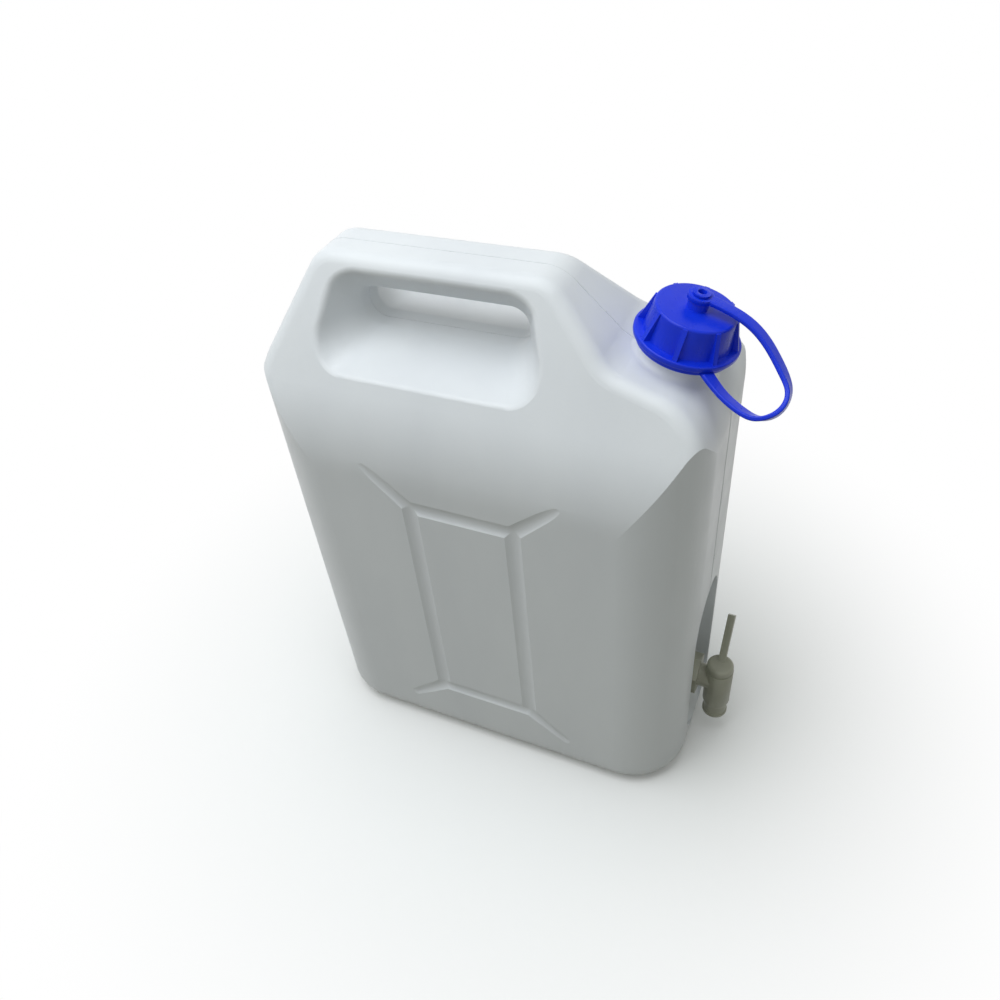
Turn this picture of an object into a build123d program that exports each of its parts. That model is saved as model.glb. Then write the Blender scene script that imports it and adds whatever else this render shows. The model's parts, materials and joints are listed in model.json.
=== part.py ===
from build123d import *
import math
import os

# Sizes are in millimetres. +Z is up, the front wall faces -Y, the neck and the tap are at +X.
# The origin lies on the standing plane, under the middle of the can.

# Can
can_length = 280.0
can_depth = 145.0
can_height = 371.0
can_wall = 1.8
corner_radius = 42.0
base_blend = 16.0
crease_blend = 11.0

# Shoulder of the front and back walls, in the side view
shoulder_start = 252.0
shoulder_radius = 100.0
shoulder_angle = 31.0

# Outline of the top, in the front view
slant_foot = 302.8
slant_angle = 28.0
slant_blend = 70.0
grip_left_blend = 20.0
grip_right = 43.0
grip_right_blend = 24.0
valley_x = 81.0
valley_z = 334.0
valley_blend = 24.0
end_blend = 38.0

# Two shallow pockets in the base, either side of the pinch-off land
pocket_length = 226.0
pocket_width = 42.0
pocket_corner = 18.0
pocket_y = 27.0
push_up = 2.5

# Handle tunnel
hole_left = -83.0
hole_right = 26.0
hole_bottom = 322.0
hole_top = 347.0
hole_corner = 11.0
hole_land = 9.0
hole_blend = 5.0
mouth_reach = 62.0
mouth_left = -105.0
mouth_right = 56.0
mouth_bottom = 310.0
mouth_top = 410.0
mouth_corner = 26.0
rim_blend = 4.0

# Grooves that frame the middle panel of both walls
groove_radius = 8.0
groove_depth = 2.0
groove_fade = 1.2
panel_half = 34.4
panel_top = 236.0
panel_bottom = 55.0
upper_branch = (28.4, 26.4)
lower_branch = (27.3, -22.0)

# Niche for the tap in the end wall
niche_width = 60.0
niche_bottom = 14.0
niche_top = 150.0
niche_corner = 28.0
niche_depth = 10.0
niche_floor_low = 32.0
niche_floor_high = 84.0

# Neck, on an axis tilted towards the end wall, with heights measured along it
neck_tilt = 13.0
neck_x = 112.2
neck_z = 339.8
neck_radius = 18.8
neck_wall = 2.4
neck_height = 15.0
foot_radius = 22.5
foot_height = -4.8
foot_sink = 26.0
foot_blend = 4.0

# Screw cap
cap_low = -1.5
cap_height = 18.5
cap_bore = 20.3
cap_plate = 2.2
cap_foot_radius = 24.0
cap_top_radius = 21.9
cap_edge_blend = 1.6
flange_radius = 29.0
flange_thickness = 3.3
flange_blend = 1.0
rib_count = 8
rib_width = 2.6
rib_root_radius = 21.2
rib_foot_radius = 28.2
rib_top_radius = 22.6
rib_drop = 0.8
seal_gap = 0.1
seal_radius = 19.8
stud_boss_radius = 5.6
stud_boss_height = 4.7
stud_radius = 3.8
stud_length = 3.0
stud_head_radius = 4.7
stud_head_height = 1.3
stud_hollow_radius = 2.3
stud_hollow_depth = 4.5

# Keeper strap
strap_thickness = 2.6
collar_radius = 26.7
collar_gap = 0.4
collar_lift = 0.2
band_width = 7.0
band_edge = 0.8
eyelet_radius = 6.8
eyelet_gap = 0.08
band_stations = (
    (5.4, 24.7, -8), (30, 21.8, -10), (53, 12, -19), (65, 3.5, -26), (64, -4.5, -36),
    (52, -7.5, -41), (36, -5.5, -47), (24.5, -3.5, -50))
band_sections = 17

# Tap
tap_x = 154.0
tap_z = 58.0
stub_radius = 10.5
stub_length = 14.0
socket_wall = 2.4
socket_length = 12.0
socket_gap = 0.1
washer_thickness = 2.0
washer_radius = 14.0
hexagon_flats = 26.0
hexagon_thickness = 8.0
stem_radius = 8.5
barrel_radius = 9.7
barrel_top = 70.0
barrel_low = 36.0
spout_radius = 8.4
spout_start = 32.0
spout_end = 22.0
lip_height = 2.0
lip_step = 0.6
spout_bore = 6.0
plug_radius = 7.0
plug_gap = 0.05
plug_low = 44.0
plug_lift = 0.2
passage_radius = 4.5
passage_top = 64.0
head_radius = 9.4
head_height = 6.0
head_blend = 2.4
lever_thickness = 5.0
lever_foot_width = 9.0
lever_tip_width = 7.0
lever_foot_y = 4.0
lever_tip_y = 26.0
lever_tip_z = 101.0

margin = 40.0


def tan(degrees):
    return math.tan(math.radians(degrees))


def moved_inwards(corners, inset):
    """Corners of the polygon, given anticlockwise or clockwise, after each side moves by inset."""
    moved = []
    for index, corner in enumerate(corners):
        before = Vector(*corner) - Vector(*corners[index - 1])
        after = Vector(*corners[(index + 1) % len(corners)]) - Vector(*corner)
        first = Vector(before.Y, -before.X).normalized()
        second = Vector(after.Y, -after.X).normalized()
        moved.append(Vector(*corner) + (first + second) * (inset / (1 + first.dot(second))))
    return moved


def is_crease(part, edge):
    """True where a face of the front outline meets a face of the side profile."""
    middle = edge @ 0.5
    normals = [face.normal_at(middle) for face in part.faces() if any(edge.is_same(side) for side in face.edges())]
    of_profile = min(abs(normal.X) for normal in normals) < 1e-4
    of_outline = min(abs(normal.Y) for normal in normals) < 1e-4
    return of_profile and of_outline and middle.Z > base_blend and max(abs(normal.Y) for normal in normals) > 1e-3


def tunnel_form(grow):
    """Space of the handle tunnel, larger by grow on every side."""
    hole_size = (hole_right - hole_left + 2 * grow, hole_top - hole_bottom + 2 * grow)
    hole_middle = ((hole_left + hole_right) / 2, (hole_bottom + hole_top) / 2)
    mouth_size = (mouth_right - mouth_left + 2 * grow, mouth_top - mouth_bottom + 2 * grow)
    mouth_middle = ((mouth_left + mouth_right) / 2, (mouth_bottom + mouth_top) / 2)
    with BuildPart() as tunnel:
        with BuildSketch(Plane.XZ) as slot:
            with Locations(hole_middle):
                RectangleRounded(*hole_size, hole_corner + grow)
        extrude(amount=hole_land, both=True)
        with BuildSketch(Plane.XZ.offset(hole_land)):
            with Locations(hole_middle):
                RectangleRounded(*hole_size, hole_corner + grow)
        with BuildSketch(Plane.XZ.offset(mouth_reach)):
            with Locations(mouth_middle):
                RectangleRounded(*mouth_size, mouth_corner + grow)
        loft(ruled=True)
        mirror(about=Plane.XZ)
        waist = tunnel.edges().filter_by(lambda edge: all(
            abs(abs((edge @ place).Y) - hole_land) < 0.01 for place in (0, 0.5, 1)))
        fillet(waist, hole_blend - grow)
    return tunnel.part


def niche_form(grow):
    """Space of the tap niche, which deepens downwards to an upright floor."""
    end = can_length / 2
    floor = end - niche_depth
    out = niche_depth / 2
    rise = (niche_top - niche_floor_high) / niche_depth
    fall = (niche_floor_low - niche_bottom) / niche_depth
    wedge = moved_inwards([
        (end + out, niche_top + rise * out), (floor, niche_floor_high),
        (floor, niche_floor_low), (end + out, niche_bottom - fall * out)], grow)
    with BuildPart() as niche:
        with BuildSketch(Plane.YZ.offset(end + out)):
            with Locations((0, (niche_bottom + niche_top) / 2)):
                RectangleRounded(niche_width + 2 * grow, niche_top - niche_bottom + 2 * grow, niche_corner + grow)
        extrude(amount=-(out + niche_depth + grow))
        with BuildSketch(Plane.XZ):
            with BuildLine():
                Polyline(*wedge, close=True)
            make_face()
        extrude(amount=can_depth, both=True, mode=Mode.INTERSECT)
    return niche.part


def groove_form(grow):
    """Rods that press the branching groove pattern into both walls."""
    across = can_depth / 2 + groove_radius - groove_depth
    junctions = {
        "upper left": (-panel_half, panel_top), "upper right": (panel_half, panel_top),
        "lower left": (-panel_half, panel_bottom), "lower right": (panel_half, panel_bottom)}
    runs = [("upper left", "upper right"), ("lower left", "lower right"),
            ("upper left", "lower left"), ("upper right", "lower right")]
    with BuildPart() as grooves:
        for x, z in junctions.values():
            outwards = math.copysign(1, x)
            reach, climb = upper_branch if z == panel_top else lower_branch
            start = Vector(x, -across, z)
            end = Vector(x + outwards * reach, -across - groove_fade, z + climb)
            with Locations(start, end):
                Sphere(groove_radius + grow)
            with Locations(Plane(origin=start, z_dir=end - start)):
                Cylinder(groove_radius + grow, (end - start).length, align=(Align.CENTER, Align.CENTER, Align.MIN))
        for first, second in runs:
            start = Vector(junctions[first][0], -across, junctions[first][1])
            end = Vector(junctions[second][0], -across, junctions[second][1])
            with Locations(Plane(origin=start, z_dir=end - start)):
                Cylinder(groove_radius + grow, (end - start).length, align=(Align.CENTER, Align.CENTER, Align.MIN))
        mirror(about=Plane.XZ)
    return grooves.part


def blown_form(inset):
    """Closed form of the can, each wall moved inwards by inset, without the neck."""
    half = can_depth / 2
    end = can_length / 2
    radius = shoulder_radius - inset
    bends = [(half - shoulder_radius + radius * math.cos(turn), shoulder_start + radius * math.sin(turn))
             for turn in (0, math.radians(shoulder_angle) / 2, math.radians(shoulder_angle))]
    above = can_height + margin / 4
    above_y = bends[2][0] - (above - bends[2][1]) * tan(shoulder_angle)
    slant_top = (can_height - slant_foot) * tan(slant_angle) - end
    end_z = valley_z - (end - valley_x) * tan(neck_tilt)
    outline = moved_inwards([
        (-end, -margin), (-end, slant_foot), (slant_top, can_height), (grip_right, can_height),
        (valley_x, valley_z), (end, end_z), (end, -margin)], inset)
    blends = (1, slant_blend - inset, grip_left_blend - inset, grip_right_blend - inset,
              valley_blend + inset, end_blend - inset, 1)
    tunnel = tunnel_form(inset)
    niche = niche_form(inset)
    grooves = groove_form(inset)
    with BuildPart() as form:
        with BuildSketch(Plane.YZ):
            with BuildLine():
                Polyline((0, inset), (half - inset, inset), bends[0])
                ThreePointArc(*bends)
                Polyline(bends[2], (above_y, above), (0, above))
                mirror(about=Plane.YZ)
            make_face()
        extrude(amount=can_length, both=True)
        with BuildSketch(Plane.XZ):
            with BuildLine():
                FilletPolyline(*outline, radius=blends, close=True)
            make_face()
        extrude(amount=can_depth, both=True, mode=Mode.INTERSECT)
        fillet(form.edges().filter_by(lambda edge: is_crease(form, edge)), crease_blend - inset)
        with BuildSketch(Plane.XY):
            RectangleRounded(can_length - 2 * inset, can_depth - 2 * inset, corner_radius - inset)
        extrude(amount=can_height, mode=Mode.INTERSECT)
        fillet(form.edges().group_by(Axis.Z)[0], base_blend - inset)
        with BuildSketch(Plane.XY):
            with Locations((0, pocket_y), (0, -pocket_y)):
                RectangleRounded(pocket_length + 2 * inset, pocket_width + 2 * inset, pocket_corner + inset)
        extrude(amount=push_up + inset, taper=30, mode=Mode.SUBTRACT)
        add(tunnel, mode=Mode.SUBTRACT)
        fillet(form.edges(Select.NEW), rim_blend - inset)
        add(niche, mode=Mode.SUBTRACT)
        add(grooves, mode=Mode.SUBTRACT)
    return form.part


def neck_plane(turn=0.0, height=0.0):
    """Plane across the neck axis at a height on it, its x turned about the axis."""
    return Plane(Plane(
        origin=(neck_x, 0, neck_z), x_dir=(math.cos(tilt), 0, -math.sin(tilt)),
        z_dir=(math.sin(tilt), 0, math.cos(tilt))).location * Pos(0, 0, height) * Rot(0, 0, turn))


def radial_plane(turn=0.0):
    """Plane that holds the neck axis, with x outwards and y up along the axis."""
    return Plane(neck_plane(turn).location * Rot(90, 0, 0))


def disc(radius, low, high, mode=Mode.ADD):
    """Round disc of the present builder, on the neck axis between two heights."""
    with Locations(neck_plane(height=low)):
        Cylinder(radius, high - low, align=(Align.CENTER, Align.CENTER, Align.MIN), mode=mode)


def edges_at(builder, radius, height):
    """Round edges of the builder's part at a radius and a height on the neck axis."""
    ring = neck_plane(height=height)
    return builder.edges().filter_by(lambda edge: all(
        abs(Vector(*ring.to_local_coords(edge @ place)).Z) < 0.01
        and abs(math.hypot(ring.to_local_coords(edge @ place).X, ring.to_local_coords(edge @ place).Y) - radius) < 0.01
        for place in (0, 0.5)))


tilt = math.radians(neck_tilt)
niche_floor_x = can_length / 2 - niche_depth
inlet = Plane.YZ.offset(niche_floor_x)
inlet_centre = (0, tap_z)

# Can: one blown shell with its neck, its tap socket and its handle tunnel
inner_form = blown_form(can_wall)
outer_form = blown_form(0)
with BuildPart() as cavity:
    add(inner_form)
    disc(foot_radius - neck_wall, foot_height - foot_sink, foot_height - neck_wall)
    with BuildSketch(inlet):
        with Locations(inlet_centre):
            Circle(stub_radius + socket_gap + socket_wall)
    extrude(amount=-socket_length, mode=Mode.SUBTRACT)
    disc(neck_radius - neck_wall, foot_height - foot_sink, neck_height + margin)
    with BuildSketch(inlet):
        with Locations(inlet_centre):
            Circle(stub_radius + socket_gap)
    extrude(amount=socket_length, both=True)

with BuildPart() as can_body:
    add(outer_form)
    disc(foot_radius, foot_height - foot_sink, foot_height)
    fillet(can_body.edges(Select.NEW).filter_by(
        lambda edge: neck_plane().to_local_coords(edge @ 0.5).Z < foot_height - 1), foot_blend)
    disc(neck_radius, foot_height, neck_height)
    add(cavity.part, mode=Mode.SUBTRACT)
can_body.part.label = "can_body"

# Screw cap, turned profile with eight grip ribs, a flange and a hollow stud for the strap
stud_low = cap_height + stud_boss_height
stud_top = stud_low + stud_length + stud_head_height
with BuildPart() as screw_cap:
    with BuildSketch(radial_plane()):
        with BuildLine():
            Polyline(
                (cap_bore, cap_low), (flange_radius, cap_low), (flange_radius, cap_low + flange_thickness),
                (cap_foot_radius, cap_low + flange_thickness), (cap_top_radius, cap_height), (0, cap_height),
                (0, cap_height - cap_plate), (cap_bore, cap_height - cap_plate), close=True)
        make_face()
    revolve(axis=Axis(neck_plane().origin, neck_plane().z_dir))
    fillet(edges_at(screw_cap, cap_top_radius, cap_height), cap_edge_blend)
    fillet(edges_at(screw_cap, flange_radius, cap_low + flange_thickness), flange_blend)
    fillet(edges_at(screw_cap, flange_radius, cap_low), flange_blend)
    for index in range(rib_count):
        with BuildSketch(radial_plane(360 * index / rib_count)):
            with BuildLine():
                Polyline(
                    (rib_root_radius, cap_low + flange_thickness / 2), (rib_foot_radius, cap_low + flange_thickness / 2),
                    (rib_top_radius, cap_height - rib_drop), (rib_root_radius, cap_height - rib_drop), close=True)
            make_face()
        extrude(amount=rib_width / 2, both=True)
    disc(stud_boss_radius, cap_height - cap_plate / 2, stud_low)
    disc(stud_radius, stud_low, stud_low + stud_length)
    disc(stud_head_radius, stud_low + stud_length, stud_top)
    disc(stud_hollow_radius, stud_top - stud_hollow_depth, stud_top, Mode.SUBTRACT)
screw_cap.part.label = "screw_cap"

# Sealing disc pressed into the top of the cap
with BuildPart() as cap_seal:
    disc(seal_radius, neck_height + seal_gap, cap_height - cap_plate)
cap_seal.part.label = "cap_seal"

# Keeper strap: a collar round the neck, a band and an eyelet round the stud
path_points = [radial_plane(turn).from_local_coords(Vector(reach, height, 0)) for reach, height, turn in band_stations]
first_turn = band_stations[0][2]
last_turn = band_stations[-1][2]
band_path = Spline(*path_points, tangents=(radial_plane(first_turn).x_dir, -radial_plane(last_turn).x_dir))
collar_low = foot_height + collar_lift
eyelet_low = stud_low + (stud_length - strap_thickness) / 2
with BuildPart() as band:
    for index in range(band_sections):
        place = index / (band_sections - 1)
        outwards = radial_plane(first_turn + (last_turn - first_turn) * place).x_dir
        inside = neck_plane().z_dir * -math.cos(math.pi * place) - outwards * math.sin(math.pi * place)
        across = (band_path % place).cross(inside)
        with BuildSketch(Plane(origin=band_path @ place, x_dir=across, z_dir=band_path % place)):
            RectangleRounded(band_width, strap_thickness, band_edge)
    loft()
with BuildPart() as cap_strap:
    with BuildSketch(neck_plane(height=collar_low)):
        Circle(collar_radius)
        Circle(neck_radius + collar_gap, mode=Mode.SUBTRACT)
    extrude(amount=strap_thickness)
    with BuildSketch(neck_plane(height=eyelet_low)):
        Circle(eyelet_radius)
        Circle(stud_radius + eyelet_gap, mode=Mode.SUBTRACT)
    extrude(amount=strap_thickness)
    add(band.part)
cap_strap.part.label = "cap_strap"

# Washer between the tap and the can
with BuildPart() as tap_washer:
    with BuildSketch(inlet):
        with Locations(inlet_centre):
            Circle(washer_radius)
            Circle(stub_radius + socket_gap, mode=Mode.SUBTRACT)
    extrude(amount=washer_thickness)
tap_washer.part.label = "tap_washer"

# Tap body: stub, hexagon and stem on the inlet axis, barrel and spout on the upright axis
upright = (tap_x, 0, 0)
with BuildPart() as tap_body:
    with BuildSketch(inlet.offset(-stub_length)):
        with Locations(inlet_centre):
            Circle(stub_radius)
    extrude(amount=stub_length + washer_thickness)
    with BuildSketch(inlet.offset(washer_thickness)):
        with Locations(inlet_centre):
            RegularPolygon(hexagon_flats / 2, 6, major_radius=False, rotation=30)
    extrude(amount=hexagon_thickness)
    with BuildSketch(inlet.offset(washer_thickness)):
        with Locations(inlet_centre):
            Circle(stem_radius)
    extrude(amount=tap_x - niche_floor_x - washer_thickness)
    with BuildSketch(Plane.XZ):
        with BuildLine():
            Polyline(
                (tap_x, barrel_top), (tap_x + barrel_radius, barrel_top), (tap_x + barrel_radius, barrel_low),
                (tap_x + spout_radius, spout_start), (tap_x + spout_radius, spout_end + lip_height),
                (tap_x + spout_radius + lip_step, spout_end + lip_height), (tap_x + spout_radius + lip_step, spout_end),
                (tap_x, spout_end), close=True)
        make_face()
    revolve(axis=Axis(upright, (0, 0, 1)))
    with BuildSketch(Plane(origin=(tap_x, 0, plug_low))):
        Circle(plug_radius)
    extrude(amount=barrel_top - plug_low, mode=Mode.SUBTRACT)
    with BuildSketch(Plane(origin=(tap_x, 0, spout_end))):
        Circle(spout_bore)
    extrude(amount=plug_low - spout_end, mode=Mode.SUBTRACT)
    with BuildSketch(inlet.offset(-stub_length)):
        with Locations(inlet_centre):
            Circle(passage_radius)
    extrude(amount=tap_x - niche_floor_x + stub_length, mode=Mode.SUBTRACT)
tap_body.part.label = "tap_body"

# Plug with its right-angled passage, closed at rest, and the lever blade on its head
with BuildPart() as tap_plug:
    with BuildSketch(Plane(origin=(tap_x, 0, plug_low + plug_lift))):
        Circle(plug_radius - plug_gap)
    extrude(amount=barrel_top - plug_low)
    with BuildSketch(Plane(origin=(tap_x, 0, barrel_top + plug_lift))):
        Circle(head_radius)
    extrude(amount=head_height)
    fillet(tap_plug.edges().group_by(Axis.Z)[-1], head_blend)
    with BuildSketch(Plane.YZ.offset(tap_x)):
        with BuildLine():
            Polyline(
                (lever_foot_y - lever_foot_width / 2, barrel_top + head_height / 2),
                (lever_foot_y + lever_foot_width / 2, barrel_top + head_height / 2),
                (lever_tip_y + lever_tip_width / 2, lever_tip_z - lever_tip_width / 2),
                (lever_tip_y - lever_tip_width / 2, lever_tip_z + lever_tip_width / 2), close=True)
        make_face()
    extrude(amount=lever_thickness / 2, both=True)
    with BuildSketch(Plane(origin=(tap_x, 0, plug_low + plug_lift))):
        Circle(passage_radius)
    extrude(amount=passage_top - plug_low, mode=Mode.SUBTRACT)
    with BuildSketch(Plane.XZ):
        with Locations((tap_x, tap_z)):
            Circle(passage_radius)
    extrude(amount=plug_radius + margin, mode=Mode.SUBTRACT)
tap_plug.part.label = "tap_plug"

os.makedirs("parts", exist_ok=True)
export_step(can_body.part, "parts/can_body.step")
export_step(screw_cap.part, "parts/screw_cap.step")
export_step(cap_seal.part, "parts/cap_seal.step")
export_step(cap_strap.part, "parts/cap_strap.step")
export_step(tap_washer.part, "parts/tap_washer.step")
export_step(tap_body.part, "parts/tap_body.step")
export_step(tap_plug.part, "parts/tap_plug.step")
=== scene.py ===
"""Carboy with spigot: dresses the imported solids, in metres, in the frame of the part."""

import json
import math

import bmesh
import bpy
from mathutils import Matrix, Vector
from mathutils.bvhtree import BVHTree


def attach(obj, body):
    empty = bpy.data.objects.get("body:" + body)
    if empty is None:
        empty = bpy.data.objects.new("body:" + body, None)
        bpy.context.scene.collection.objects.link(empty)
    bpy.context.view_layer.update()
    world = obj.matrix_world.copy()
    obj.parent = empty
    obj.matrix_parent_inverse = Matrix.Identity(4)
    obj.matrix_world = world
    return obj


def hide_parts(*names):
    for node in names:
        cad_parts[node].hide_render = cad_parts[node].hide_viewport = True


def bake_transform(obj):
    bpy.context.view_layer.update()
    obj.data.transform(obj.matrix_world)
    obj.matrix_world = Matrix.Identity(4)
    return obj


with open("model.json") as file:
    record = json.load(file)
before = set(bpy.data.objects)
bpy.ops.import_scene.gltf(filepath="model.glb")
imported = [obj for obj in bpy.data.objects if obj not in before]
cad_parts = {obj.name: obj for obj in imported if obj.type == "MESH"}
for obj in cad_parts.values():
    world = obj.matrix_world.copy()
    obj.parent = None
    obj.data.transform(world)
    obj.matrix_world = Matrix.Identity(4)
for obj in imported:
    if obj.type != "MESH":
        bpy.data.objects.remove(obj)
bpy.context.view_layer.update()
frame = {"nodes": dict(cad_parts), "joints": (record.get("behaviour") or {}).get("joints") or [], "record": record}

# Merging of the CAD's loose triangles
MERGE_DISTANCE = 1e-6
FLAT_ANGLE = math.radians(0.5)

# Rounding of moulded edges
EDGE_ANGLE = math.radians(30)
EDGE_SEGMENTS = 2
CAP_EDGE = 0.0005
STRAP_EDGE = 0.0004
TAP_EDGE = 0.0005
PLUG_EDGE = 0.0007

# Neck axis, from the joint that turns the cap on it
CAP_TURN = next(joint for joint in frame["joints"] if joint["name"] == "cap_turn")
NECK_FOOT = Vector(CAP_TURN["pos_m"])
NECK_AXIS = Vector(CAP_TURN["axis"]).normalized()
NECK_RADIUS = 0.0188
CAP_BORE = 0.0203

# Screw threads: lift of one turn, half width of the ridge, and where each starts on the axis
THREAD_LIFT = 0.006
THREAD_RIDGE = 0.0011
THREAD_RESOLUTION = 72
THREAD_SIDES = 10
NECK_THREAD_START = 0.0020
NECK_THREAD_TURNS = 1.9
CAP_THREAD_START = 0.0050
CAP_THREAD_TURNS = 1.4

# Parting line of the two mould halves, on the middle plane, with specks of flash
LINE_RIDGE = 0.00022
LINE_STEP = 0.003
LINE_SIDES = 6
SPECK_SIZE = 0.0006
SPECK_SMALLEST = 0.4
SPECK_SHARE = 0.12
SPECK_SEED = 7
NECK_CLEARANCE = 0.024
OUTSIDE_STEP = 0.0008
PATH_MERGE = 1e-5

# Noise that the finishes follow: the run of its values that is used, and its layers
NOISE_RUN = (0.3, 0.7)
CLOUD_LAYERS = 4.0
GRAIN_LAYERS = 2.0

# Each finish: two colours, the run of its roughness, the scales of its noise, strength and depth of its relief
WALL_COLOURS = ((0.69, 0.715, 0.745), (0.75, 0.775, 0.80))
WALL_ROUGHNESS = (0.30, 0.42)
WALL_STREAKS = 14.0
WALL_STREAK_STRETCH = (1.0, 1.0, 0.25)
WALL_CLOUDS = 60.0
WALL_GRAIN = 420.0
WALL_RELIEF = (0.08, 0.0004)
WALL_GLOSS = 0.35
WALL_MILK = 0.004
BLUE_COLOURS = ((0.004, 0.026, 0.60), (0.006, 0.036, 0.68))
BLUE_ROUGHNESS = (0.26, 0.36)
BLUE_CLOUDS = 40.0
BLUE_SHEEN = 150.0
BLUE_GRAIN = 900.0
BLUE_RELIEF = (0.06, 0.0003)
BLUE_GLOSS = 0.22
TAP_COLOURS = ((0.29, 0.29, 0.225), (0.35, 0.35, 0.275))
TAP_ROUGHNESS = (0.30, 0.42)
TAP_CLOUDS = 50.0
TAP_SHEEN = 150.0
TAP_GRAIN = 700.0
TAP_RELIEF = (0.06, 0.0003)
TAP_MILK = 0.003
MILK_SHARE = 0.2
FOAM_COLOURS = ((0.80, 0.80, 0.78), (0.90, 0.90, 0.88))
FOAM_ROUGHNESS = 0.85
FOAM_CELLS = 900.0
FOAM_RELIEF = (0.4, 0.0004)
RUBBER_COLOURS = ((0.03, 0.03, 0.03), (0.06, 0.06, 0.06))
RUBBER_ROUGHNESS = 0.7
RUBBER_DUST = 200.0
RUBBER_RELIEF = (0.1, 0.0003)

# Floor, surround and lamps
FLOOR_REACH = 4.0
FLOOR_COLOUR = (1.0, 1.0, 1.0)
FLOOR_BOUNCE = (0.22, 0.21, 0.17)
FLOOR_FADE = (0.12, 0.42)
FLOOR_ROUGHNESS = 0.9
GLOW_COLOUR = (0.93, 0.97, 0.93)
GLOW_STRENGTH = 0.45
LAMP_AIM = (0, 0, 0.25)
KEY_PLACE = (-0.75, -0.75, 1.25)
KEY_SIZE = 0.9
KEY_POWER = 3
KEY_COLOUR = (0.95, 0.98, 1.0)
TOP_PLACE = (-0.2, -0.15, 1.3)
TOP_SIZE = 0.9
TOP_POWER = 8
TOP_COLOUR = (0.94, 0.97, 1.0)

# Photograph's camera
CAMERA_PLACE = (0.1981, -0.3924, 0.5874)
CAMERA_RIGHT = (0.9128, 0.4003, -0.0805)
CAMERA_DOWN = (0.2152, -0.6392, -0.7383)
CAMERA_LENS = 30.95
SENSOR = 36.0
CAMERA_REACH = (0.01, 20)


def merged_copy(node, name):
    """The CAD node's mesh as a new object of the same place, with its triangles joined."""
    source = frame["nodes"][node]
    bpy.context.view_layer.update()
    mesh = source.data.copy()
    mesh.transform(source.matrix_world)
    shape = bmesh.new()
    shape.from_mesh(mesh)
    bmesh.ops.remove_doubles(shape, verts=shape.verts, dist=MERGE_DISTANCE)
    bmesh.ops.dissolve_limit(shape, angle_limit=FLAT_ANGLE, verts=shape.verts, edges=shape.edges)
    shape.to_mesh(mesh)
    shape.free()
    mesh.materials.clear()
    piece = bpy.data.objects.new(name, mesh)
    bpy.context.scene.collection.objects.link(piece)
    return piece


def finished(piece):
    """The piece as a plain mesh object, its modifiers worked into the mesh."""
    bpy.context.view_layer.update()
    mesh = bpy.data.meshes.new_from_object(piece.evaluated_get(bpy.context.evaluated_depsgraph_get()))
    piece.modifiers.clear()
    piece.data = mesh
    mesh.transform(piece.matrix_world)
    piece.matrix_world = Matrix.Identity(4)
    return piece


def round_edges(piece, width):
    """Rounds the edges of a moulded piece and shades it smooth."""
    bevel = piece.modifiers.new("rounded edges", "BEVEL")
    bevel.width = width
    bevel.segments = EDGE_SEGMENTS
    bevel.limit_method = "ANGLE"
    bevel.angle_limit = EDGE_ANGLE
    bevel.harden_normals = True
    for face in piece.data.polygons:
        face.use_smooth = True
    return finished(piece)


def new_material(name):
    """An empty node material with its Principled shader."""
    material = bpy.data.materials.new(name)
    material.use_nodes = True
    return material, material.node_tree, material.node_tree.nodes["Principled BSDF"]


def noise(tree, scale, layers=CLOUD_LAYERS, stretch=(1, 1, 1)):
    """Noise on Object coordinates, stretched along an axis where asked."""
    place = tree.nodes.new("ShaderNodeTexCoord")
    mapping = tree.nodes.new("ShaderNodeMapping")
    mapping.inputs["Scale"].default_value = stretch
    texture = tree.nodes.new("ShaderNodeTexNoise")
    texture.inputs["Scale"].default_value = scale
    texture.inputs["Detail"].default_value = layers
    tree.links.new(place.outputs["Object"], mapping.inputs["Vector"])
    tree.links.new(mapping.outputs["Vector"], texture.inputs["Vector"])
    return texture.outputs["Fac"]


def tint(tree, shader, source, colours):
    """Base colour that goes from the first colour to the second with the source."""
    node = tree.nodes.new("ShaderNodeValToRGB")
    for element, place, colour in zip(node.color_ramp.elements, NOISE_RUN, colours):
        element.position = place
        element.color = (*colour, 1)
    tree.links.new(source, node.inputs["Fac"])
    tree.links.new(node.outputs["Color"], shader.inputs["Base Color"])


def roughen(tree, shader, source, run):
    """Roughness that goes from the low to the high end of its run with the source."""
    node = tree.nodes.new("ShaderNodeMapRange")
    ends = zip(("From Min", "From Max", "To Min", "To Max"), (*NOISE_RUN, *run))
    for name, value in ends:
        node.inputs[name].default_value = value
    tree.links.new(source, node.inputs["Value"])
    tree.links.new(node.outputs["Result"], shader.inputs["Roughness"])


def bump(tree, shader, source, strength, distance):
    """Fine relief from the source."""
    node = tree.nodes.new("ShaderNodeBump")
    node.inputs["Strength"].default_value = strength
    node.inputs["Distance"].default_value = distance
    tree.links.new(source, node.inputs["Height"])
    tree.links.new(node.outputs["Normal"], shader.inputs["Normal"])


def cloud(shader, reach):
    """Milky look of plastic that light enters a little way."""
    shader.inputs["Subsurface Weight"].default_value = MILK_SHARE
    shader.inputs["Subsurface Radius"].default_value = (reach, reach, reach)
    shader.inputs["Subsurface Scale"].default_value = 1.0


def natural_polyethylene():
    """Milky blow-moulded wall: upright flow streaks, soft clouds, fine orange peel."""
    material, tree, shader = new_material("natural_polyethylene")
    tint(tree, shader, noise(tree, WALL_STREAKS, stretch=WALL_STREAK_STRETCH), WALL_COLOURS)
    roughen(tree, shader, noise(tree, WALL_CLOUDS), WALL_ROUGHNESS)
    shader.inputs["Specular IOR Level"].default_value = WALL_GLOSS
    cloud(shader, WALL_MILK)
    bump(tree, shader, noise(tree, WALL_GRAIN, GRAIN_LAYERS), *WALL_RELIEF)
    return material


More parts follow.
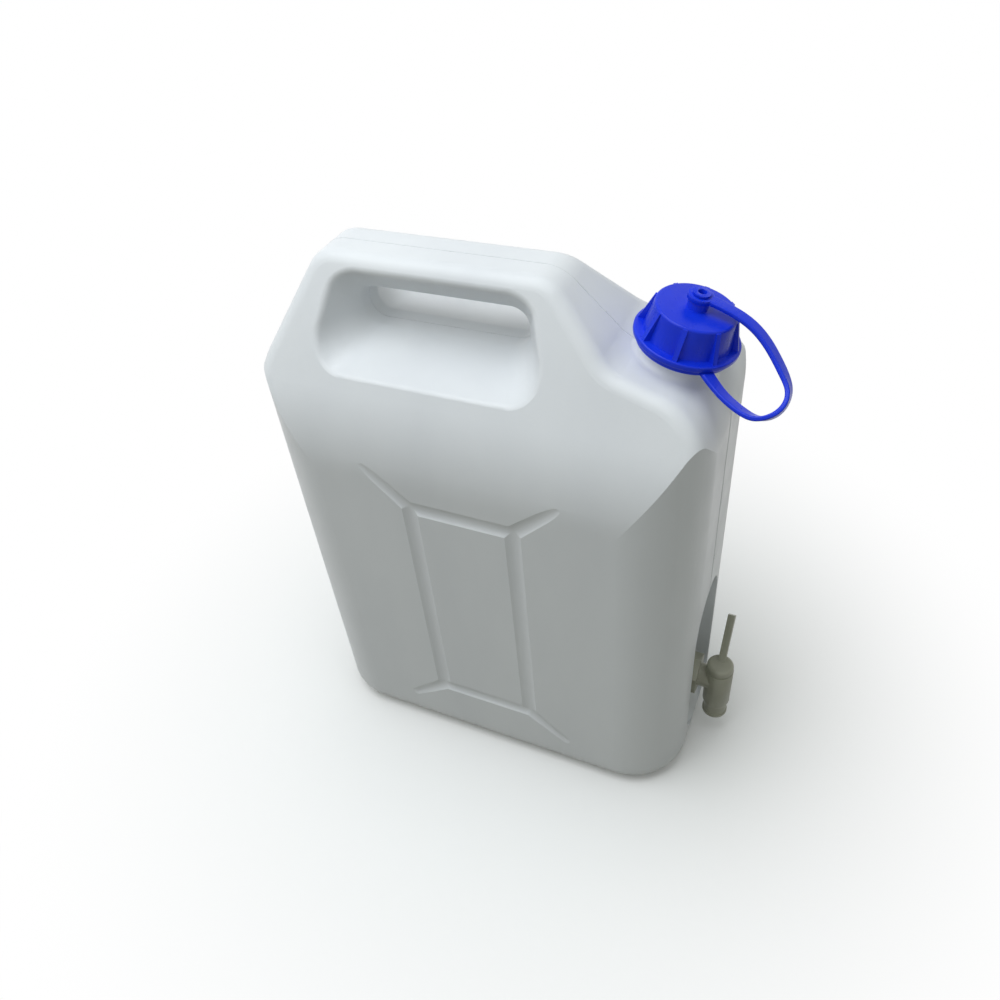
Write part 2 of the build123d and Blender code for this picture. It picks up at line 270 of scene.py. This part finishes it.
def blue_polyethylene():
    """Saturated injection-moulded blue, semi-gloss."""
    material, tree, shader = new_material("blue_polyethylene")
    tint(tree, shader, noise(tree, BLUE_CLOUDS), BLUE_COLOURS)
    roughen(tree, shader, noise(tree, BLUE_SHEEN), BLUE_ROUGHNESS)
    shader.inputs["Specular IOR Level"].default_value = BLUE_GLOSS
    bump(tree, shader, noise(tree, BLUE_GRAIN, GRAIN_LAYERS), *BLUE_RELIEF)
    return material


def tap_polyethylene():
    """Natural polyethylene of the tap, thicker and greyer than the wall."""
    material, tree, shader = new_material("natural_tap_polyethylene")
    tint(tree, shader, noise(tree, TAP_CLOUDS), TAP_COLOURS)
    roughen(tree, shader, noise(tree, TAP_SHEEN), TAP_ROUGHNESS)
    cloud(shader, TAP_MILK)
    bump(tree, shader, noise(tree, TAP_GRAIN, GRAIN_LAYERS), *TAP_RELIEF)
    return material


def white_foam():
    """Closed-cell sealing disc."""
    material, tree, shader = new_material("white_foam")
    cells = noise(tree, FOAM_CELLS)
    tint(tree, shader, cells, FOAM_COLOURS)
    shader.inputs["Roughness"].default_value = FOAM_ROUGHNESS
    bump(tree, shader, cells, *FOAM_RELIEF)
    return material


def black_rubber():
    """Washer of the tap."""
    material, tree, shader = new_material("black_rubber")
    dust = noise(tree, RUBBER_DUST)
    tint(tree, shader, dust, RUBBER_COLOURS)
    shader.inputs["Roughness"].default_value = RUBBER_ROUGHNESS
    bump(tree, shader, dust, *RUBBER_RELIEF)
    return material


FINISHES = {
    "natural_polyethylene": natural_polyethylene(),
    "blue_polyethylene": blue_polyethylene(),
    "natural_tap_polyethylene": tap_polyethylene(),
    "white_foam": white_foam(),
    "black_rubber": black_rubber(),
}
NODE_FINISHES = {part["node"]: part["material_slot"] for part in frame["record"]["subparts"]}


def paint(piece, slot):
    """Gives a piece its finish on every material slot."""
    if not piece.material_slots:
        piece.data.materials.append(FINISHES[slot])
    for place in piece.material_slots:
        place.material = FINISHES[slot]


def moulded_piece(node, name, edge, body):
    """A rounded copy that stands for a CAD node."""
    piece = round_edges(merged_copy(node, name), edge)
    paint(piece, NODE_FINISHES[node])
    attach(piece, body)
    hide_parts(node)


def paint_nodes():
    """Finishes of the CAD nodes that stay."""
    for name, node in frame["nodes"].items():
        paint(node, NODE_FINISHES[name])


def sized_tree(name, sizes):
    """A Geometry Nodes tree with named inputs for its sizes and its material, and its group ends."""
    tree = bpy.data.node_groups.new(name, "GeometryNodeTree")
    tree.interface.new_socket("Geometry", in_out="INPUT", socket_type="NodeSocketGeometry")
    for size in sizes:
        tree.interface.new_socket(size, in_out="INPUT", socket_type="NodeSocketFloat")
    tree.interface.new_socket("Material", in_out="INPUT", socket_type="NodeSocketMaterial")
    tree.interface.new_socket("Geometry", in_out="OUTPUT", socket_type="NodeSocketGeometry")
    return tree, tree.nodes.new("NodeGroupInput"), tree.nodes.new("NodeGroupOutput")


def closed_tree(tree, start, end, shape):
    """Ends a tree in plain geometry with its material."""
    real = tree.nodes.new("GeometryNodeRealizeInstances")
    finish = tree.nodes.new("GeometryNodeSetMaterial")
    tree.links.new(shape, real.inputs["Geometry"])
    tree.links.new(real.outputs["Geometry"], finish.inputs["Geometry"])
    tree.links.new(start.outputs["Material"], finish.inputs["Material"])
    tree.links.new(finish.outputs["Geometry"], end.inputs["Geometry"])


def thread_tree():
    """Right-hand helical ridge of round section that rises along +Z."""
    tree, start, end = sized_tree("screw thread", ("Turns", "Radius", "Lift", "Ridge"))
    height = tree.nodes.new("ShaderNodeMath")
    height.operation = "MULTIPLY"
    tree.links.new(start.outputs["Turns"], height.inputs[0])
    tree.links.new(start.outputs["Lift"], height.inputs[1])
    helix = tree.nodes.new("GeometryNodeCurveSpiral")
    helix.inputs["Resolution"].default_value = THREAD_RESOLUTION
    helix.inputs["Reverse"].default_value = True
    tree.links.new(start.outputs["Turns"], helix.inputs["Rotations"])
    tree.links.new(start.outputs["Radius"], helix.inputs["Start Radius"])
    tree.links.new(start.outputs["Radius"], helix.inputs["End Radius"])
    tree.links.new(height.outputs["Value"], helix.inputs["Height"])
    ridge = tree.nodes.new("GeometryNodeCurvePrimitiveCircle")
    ridge.inputs["Resolution"].default_value = THREAD_SIDES
    tree.links.new(start.outputs["Ridge"], ridge.inputs["Radius"])
    sweep = tree.nodes.new("GeometryNodeCurveToMesh")
    sweep.inputs["Fill Caps"].default_value = True
    tree.links.new(helix.outputs["Curve"], sweep.inputs["Curve"])
    tree.links.new(ridge.outputs["Curve"], sweep.inputs["Profile Curve"])
    closed_tree(tree, start, end, sweep.outputs["Mesh"])
    return tree


def flash_tree():
    """Thin ridge along the edges of a mesh, with specks of flash on some of its points."""
    tree, start, end = sized_tree("parting line", ("Step", "Ridge", "Speck", "Share"))
    curve = tree.nodes.new("GeometryNodeMeshToCurve")
    tree.links.new(start.outputs["Geometry"], curve.inputs["Mesh"])
    even = tree.nodes.new("GeometryNodeResampleCurve")
    even.mode = "LENGTH"
    tree.links.new(curve.outputs["Curve"], even.inputs["Curve"])
    tree.links.new(start.outputs["Step"], even.inputs["Length"])
    ridge = tree.nodes.new("GeometryNodeCurvePrimitiveCircle")
    ridge.inputs["Resolution"].default_value = LINE_SIDES
    tree.links.new(start.outputs["Ridge"], ridge.inputs["Radius"])
    sweep = tree.nodes.new("GeometryNodeCurveToMesh")
    sweep.inputs["Fill Caps"].default_value = True
    tree.links.new(even.outputs["Curve"], sweep.inputs["Curve"])
    tree.links.new(ridge.outputs["Curve"], sweep.inputs["Profile Curve"])
    points = tree.nodes.new("GeometryNodeCurveToPoints")
    points.mode = "EVALUATED"
    tree.links.new(even.outputs["Curve"], points.inputs["Curve"])
    chosen = tree.nodes.new("FunctionNodeRandomValue")
    chosen.data_type = "BOOLEAN"
    chosen.inputs["Seed"].default_value = SPECK_SEED
    tree.links.new(start.outputs["Share"], chosen.inputs["Probability"])
    size = tree.nodes.new("FunctionNodeRandomValue")
    size.inputs["Min"].default_value = SPECK_SMALLEST
    size.inputs["Seed"].default_value = SPECK_SEED + 1
    speck = tree.nodes.new("GeometryNodeMeshIcoSphere")
    tree.links.new(start.outputs["Speck"], speck.inputs["Radius"])
    scatter = tree.nodes.new("GeometryNodeInstanceOnPoints")
    tree.links.new(points.outputs["Points"], scatter.inputs["Points"])
    tree.links.new(chosen.outputs["Value"], scatter.inputs["Selection"])
    tree.links.new(speck.outputs["Mesh"], scatter.inputs["Instance"])
    tree.links.new(size.outputs["Value"], scatter.inputs["Scale"])
    join = tree.nodes.new("GeometryNodeJoinGeometry")
    tree.links.new(scatter.outputs["Instances"], join.inputs["Geometry"])
    tree.links.new(sweep.outputs["Mesh"], join.inputs["Geometry"])
    closed_tree(tree, start, end, join.outputs["Geometry"])
    return tree


def grown_piece(name, mesh, tree, sizes, slot, body):
    """A piece that a tree makes from a mesh, as plain geometry on a body."""
    piece = bpy.data.objects.new(name, mesh)
    bpy.context.scene.collection.objects.link(piece)
    grower = piece.modifiers.new(tree.name, "NODES")
    grower.node_group = tree
    values = {**sizes, "Material": FINISHES[slot]}
    for socket in tree.interface.items_tree:
        if socket.in_out == "INPUT" and socket.name in values:
            grower[socket.identifier] = values[socket.name]
    finished(piece)
    for face in piece.data.polygons:
        face.use_smooth = True
    paint(piece, slot)
    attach(piece, body)
    return piece


def thread(name, radius, start, turns, slot, body):
    """Screw thread on the neck axis."""
    sizes = {"Turns": turns, "Radius": radius, "Lift": THREAD_LIFT, "Ridge": THREAD_RIDGE}
    piece = grown_piece(name, bpy.data.meshes.new(name), thread_tree(), sizes, slot, body)
    turn = Vector((0, 0, 1)).rotation_difference(NECK_AXIS).to_matrix().to_4x4()
    piece.data.transform(Matrix.Translation(NECK_FOOT + NECK_AXIS * start) @ turn)


def parting_line():
    """Line that the two mould halves leave on the middle plane of the can, clear of neck and niche."""
    source = merged_copy("can_body", "parting_line_path")
    shape = bmesh.new()
    shape.from_mesh(source.data)
    walls = BVHTree.FromBMesh(shape)
    cut = bmesh.ops.bisect_plane(
        shape, geom=shape.verts[:] + shape.edges[:] + shape.faces[:], plane_co=(0, 0, 0), plane_no=(0, 1, 0))
    runs = []
    for edge in (item for item in cut["geom_cut"] if isinstance(item, bmesh.types.BMEdge)):
        middle = (edge.verts[0].co + edge.verts[1].co) / 2
        normal = edge.link_faces[0].normal
        probe = middle + Vector((normal.x, 0, normal.z)).normalized() * OUTSIDE_STEP
        along = middle - NECK_FOOT
        off_axis = (along - NECK_AXIS * along.dot(NECK_AXIS)).length
        free = walls.ray_cast(probe, Vector((0, 1, 0)))[0] is None
        if free and off_axis > NECK_CLEARANCE and middle.z > OUTSIDE_STEP:
            runs.append((edge.verts[0].co.copy(), edge.verts[1].co.copy()))
    shape.free()
    bpy.data.objects.remove(source)
    mesh = bpy.data.meshes.new("parting_line")
    points = [point for run in runs for point in run]
    mesh.from_pydata(points, [(index, index + 1) for index in range(0, len(points), 2)], [])
    path = bmesh.new()
    path.from_mesh(mesh)
    bmesh.ops.remove_doubles(path, verts=path.verts, dist=PATH_MERGE)
    path.to_mesh(mesh)
    path.free()
    sizes = {"Step": LINE_STEP, "Ridge": LINE_RIDGE, "Speck": SPECK_SIZE, "Share": SPECK_SHARE}
    grown_piece("parting_line", mesh, flash_tree(), sizes, "natural_polyethylene", "can")


def keeper_strap():
    """Rounded strap with its collar on the neck and its eyelet at the cap, baked in place."""
    piece = round_edges(merged_copy("cap_strap", "keeper_strap"), STRAP_EDGE)
    paint(piece, "blue_polyethylene")
    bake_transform(piece)
    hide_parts("cap_strap")


def camera():
    """Camera of the photograph."""
    right = Vector(CAMERA_RIGHT).normalized()
    down = Vector(CAMERA_DOWN)
    down = (down - right * down.dot(right)).normalized()
    back = right.cross(-down)
    lens = bpy.data.cameras.new("camera")
    lens.lens = CAMERA_LENS
    lens.sensor_width = SENSOR
    lens.clip_start, lens.clip_end = CAMERA_REACH
    view = bpy.data.objects.new("camera", lens)
    view.matrix_world = Matrix((
        (right.x, -down.x, back.x, CAMERA_PLACE[0]), (right.y, -down.y, back.y, CAMERA_PLACE[1]),
        (right.z, -down.z, back.z, CAMERA_PLACE[2]), (0, 0, 0, 1)))
    bpy.context.scene.collection.objects.link(view)
    bpy.context.scene.camera = view


def area_light(name, place, aim, size, power, colour):
    """Soft square lamp that faces a point."""
    lamp = bpy.data.lights.new(name, "AREA")
    lamp.size = size
    lamp.energy = power
    lamp.color = colour
    light = bpy.data.objects.new(name, lamp)
    light.location = place
    light.rotation_euler = (Vector(aim) - Vector(place)).to_track_quat("-Z", "Y").to_euler()
    bpy.context.scene.collection.objects.link(light)


def seen_rays(tree):
    """1 for the rays that show the surround: camera, glossy and transmission rays."""
    rays = tree.nodes.new("ShaderNodeLightPath")
    total = rays.outputs["Is Camera Ray"]
    for name in ("Is Glossy Ray", "Is Transmission Ray"):
        both = tree.nodes.new("ShaderNodeMath")
        both.operation = "MAXIMUM"
        tree.links.new(total, both.inputs[0])
        tree.links.new(rays.outputs[name], both.inputs[1])
        total = both.outputs["Value"]
    return total


def pale_floor():
    """White floor that keeps the shadow and fades into the white surround away from the can."""
    mesh = bpy.data.meshes.new("floor")
    corners = [(x * FLOOR_REACH, y * FLOOR_REACH, 0) for x, y in ((-1, -1), (1, -1), (1, 1), (-1, 1))]
    mesh.from_pydata(corners, [], [(0, 1, 2, 3)])
    floor = bpy.data.objects.new("floor", mesh)
    bpy.context.scene.collection.objects.link(floor)
    material, tree, shader = new_material("floor")
    seen = seen_rays(tree)
    tone = tree.nodes.new("ShaderNodeMix")
    tone.data_type = "RGBA"
    tone.inputs["A"].default_value = (*FLOOR_BOUNCE, 1)
    tone.inputs["B"].default_value = (*FLOOR_COLOUR, 1)
    tree.links.new(seen, tone.inputs["Factor"])
    tree.links.new(tone.outputs["Result"], shader.inputs["Base Color"])
    shader.inputs["Roughness"].default_value = FLOOR_ROUGHNESS
    shader.inputs["Specular IOR Level"].default_value = 0.0
    place = tree.nodes.new("ShaderNodeTexCoord")
    distance = tree.nodes.new("ShaderNodeVectorMath")
    distance.operation = "LENGTH"
    tree.links.new(place.outputs["Object"], distance.inputs[0])
    fade = tree.nodes.new("ShaderNodeMapRange")
    fade.interpolation_type = "SMOOTHSTEP"
    fade.inputs["From Min"].default_value = FLOOR_FADE[0]
    fade.inputs["From Max"].default_value = FLOOR_FADE[1]
    tree.links.new(distance.outputs["Value"], fade.inputs["Value"])
    share = tree.nodes.new("ShaderNodeMath")
    share.operation = "MULTIPLY"
    tree.links.new(fade.outputs["Result"], share.inputs[0])
    tree.links.new(seen, share.inputs[1])
    white = tree.nodes.new("ShaderNodeEmission")
    mix = tree.nodes.new("ShaderNodeMixShader")
    tree.links.new(share.outputs["Value"], mix.inputs["Fac"])
    tree.links.new(shader.outputs["BSDF"], mix.inputs[1])
    tree.links.new(white.outputs["Emission"], mix.inputs[2])
    tree.links.new(mix.outputs["Shader"], tree.nodes["Material Output"].inputs["Surface"])
    mesh.materials.append(material)


def surround():
    """White to the eye, a weaker glow as light."""
    world = bpy.data.worlds.new("surround")
    world.use_nodes = True
    bpy.context.scene.world = world
    tree = world.node_tree
    tree.nodes.clear()
    seen = tree.nodes.new("ShaderNodeBackground")
    seen.inputs["Color"].default_value = (1, 1, 1, 1)
    glow = tree.nodes.new("ShaderNodeBackground")
    glow.inputs["Color"].default_value = (*GLOW_COLOUR, 1)
    glow.inputs["Strength"].default_value = GLOW_STRENGTH
    mix = tree.nodes.new("ShaderNodeMixShader")
    output = tree.nodes.new("ShaderNodeOutputWorld")
    tree.links.new(seen_rays(tree), mix.inputs["Fac"])
    tree.links.new(glow.outputs["Background"], mix.inputs[1])
    tree.links.new(seen.outputs["Background"], mix.inputs[2])
    tree.links.new(mix.outputs["Shader"], output.inputs["Surface"])


def studio():
    """Floor, surround and two soft lamps."""
    pale_floor()
    surround()
    area_light("key", KEY_PLACE, LAMP_AIM, KEY_SIZE, KEY_POWER, KEY_COLOUR)
    area_light("top", TOP_PLACE, LAMP_AIM, TOP_SIZE, TOP_POWER, TOP_COLOUR)


paint_nodes()
moulded_piece("screw_cap", "ribbed_cap", CAP_EDGE, "cap")
moulded_piece("tap_body", "tap_barrel", TAP_EDGE, "can")
moulded_piece("tap_plug", "tap_lever_plug", PLUG_EDGE, "plug")
keeper_strap()
thread("neck_thread", NECK_RADIUS, NECK_THREAD_START, NECK_THREAD_TURNS, "natural_polyethylene", "can")
thread("cap_thread", CAP_BORE, CAP_THREAD_START, CAP_THREAD_TURNS, "blue_polyethylene", "cap")
parting_line()
studio()
camera()
bpy.context.scene.view_settings.view_transform = "Standard"
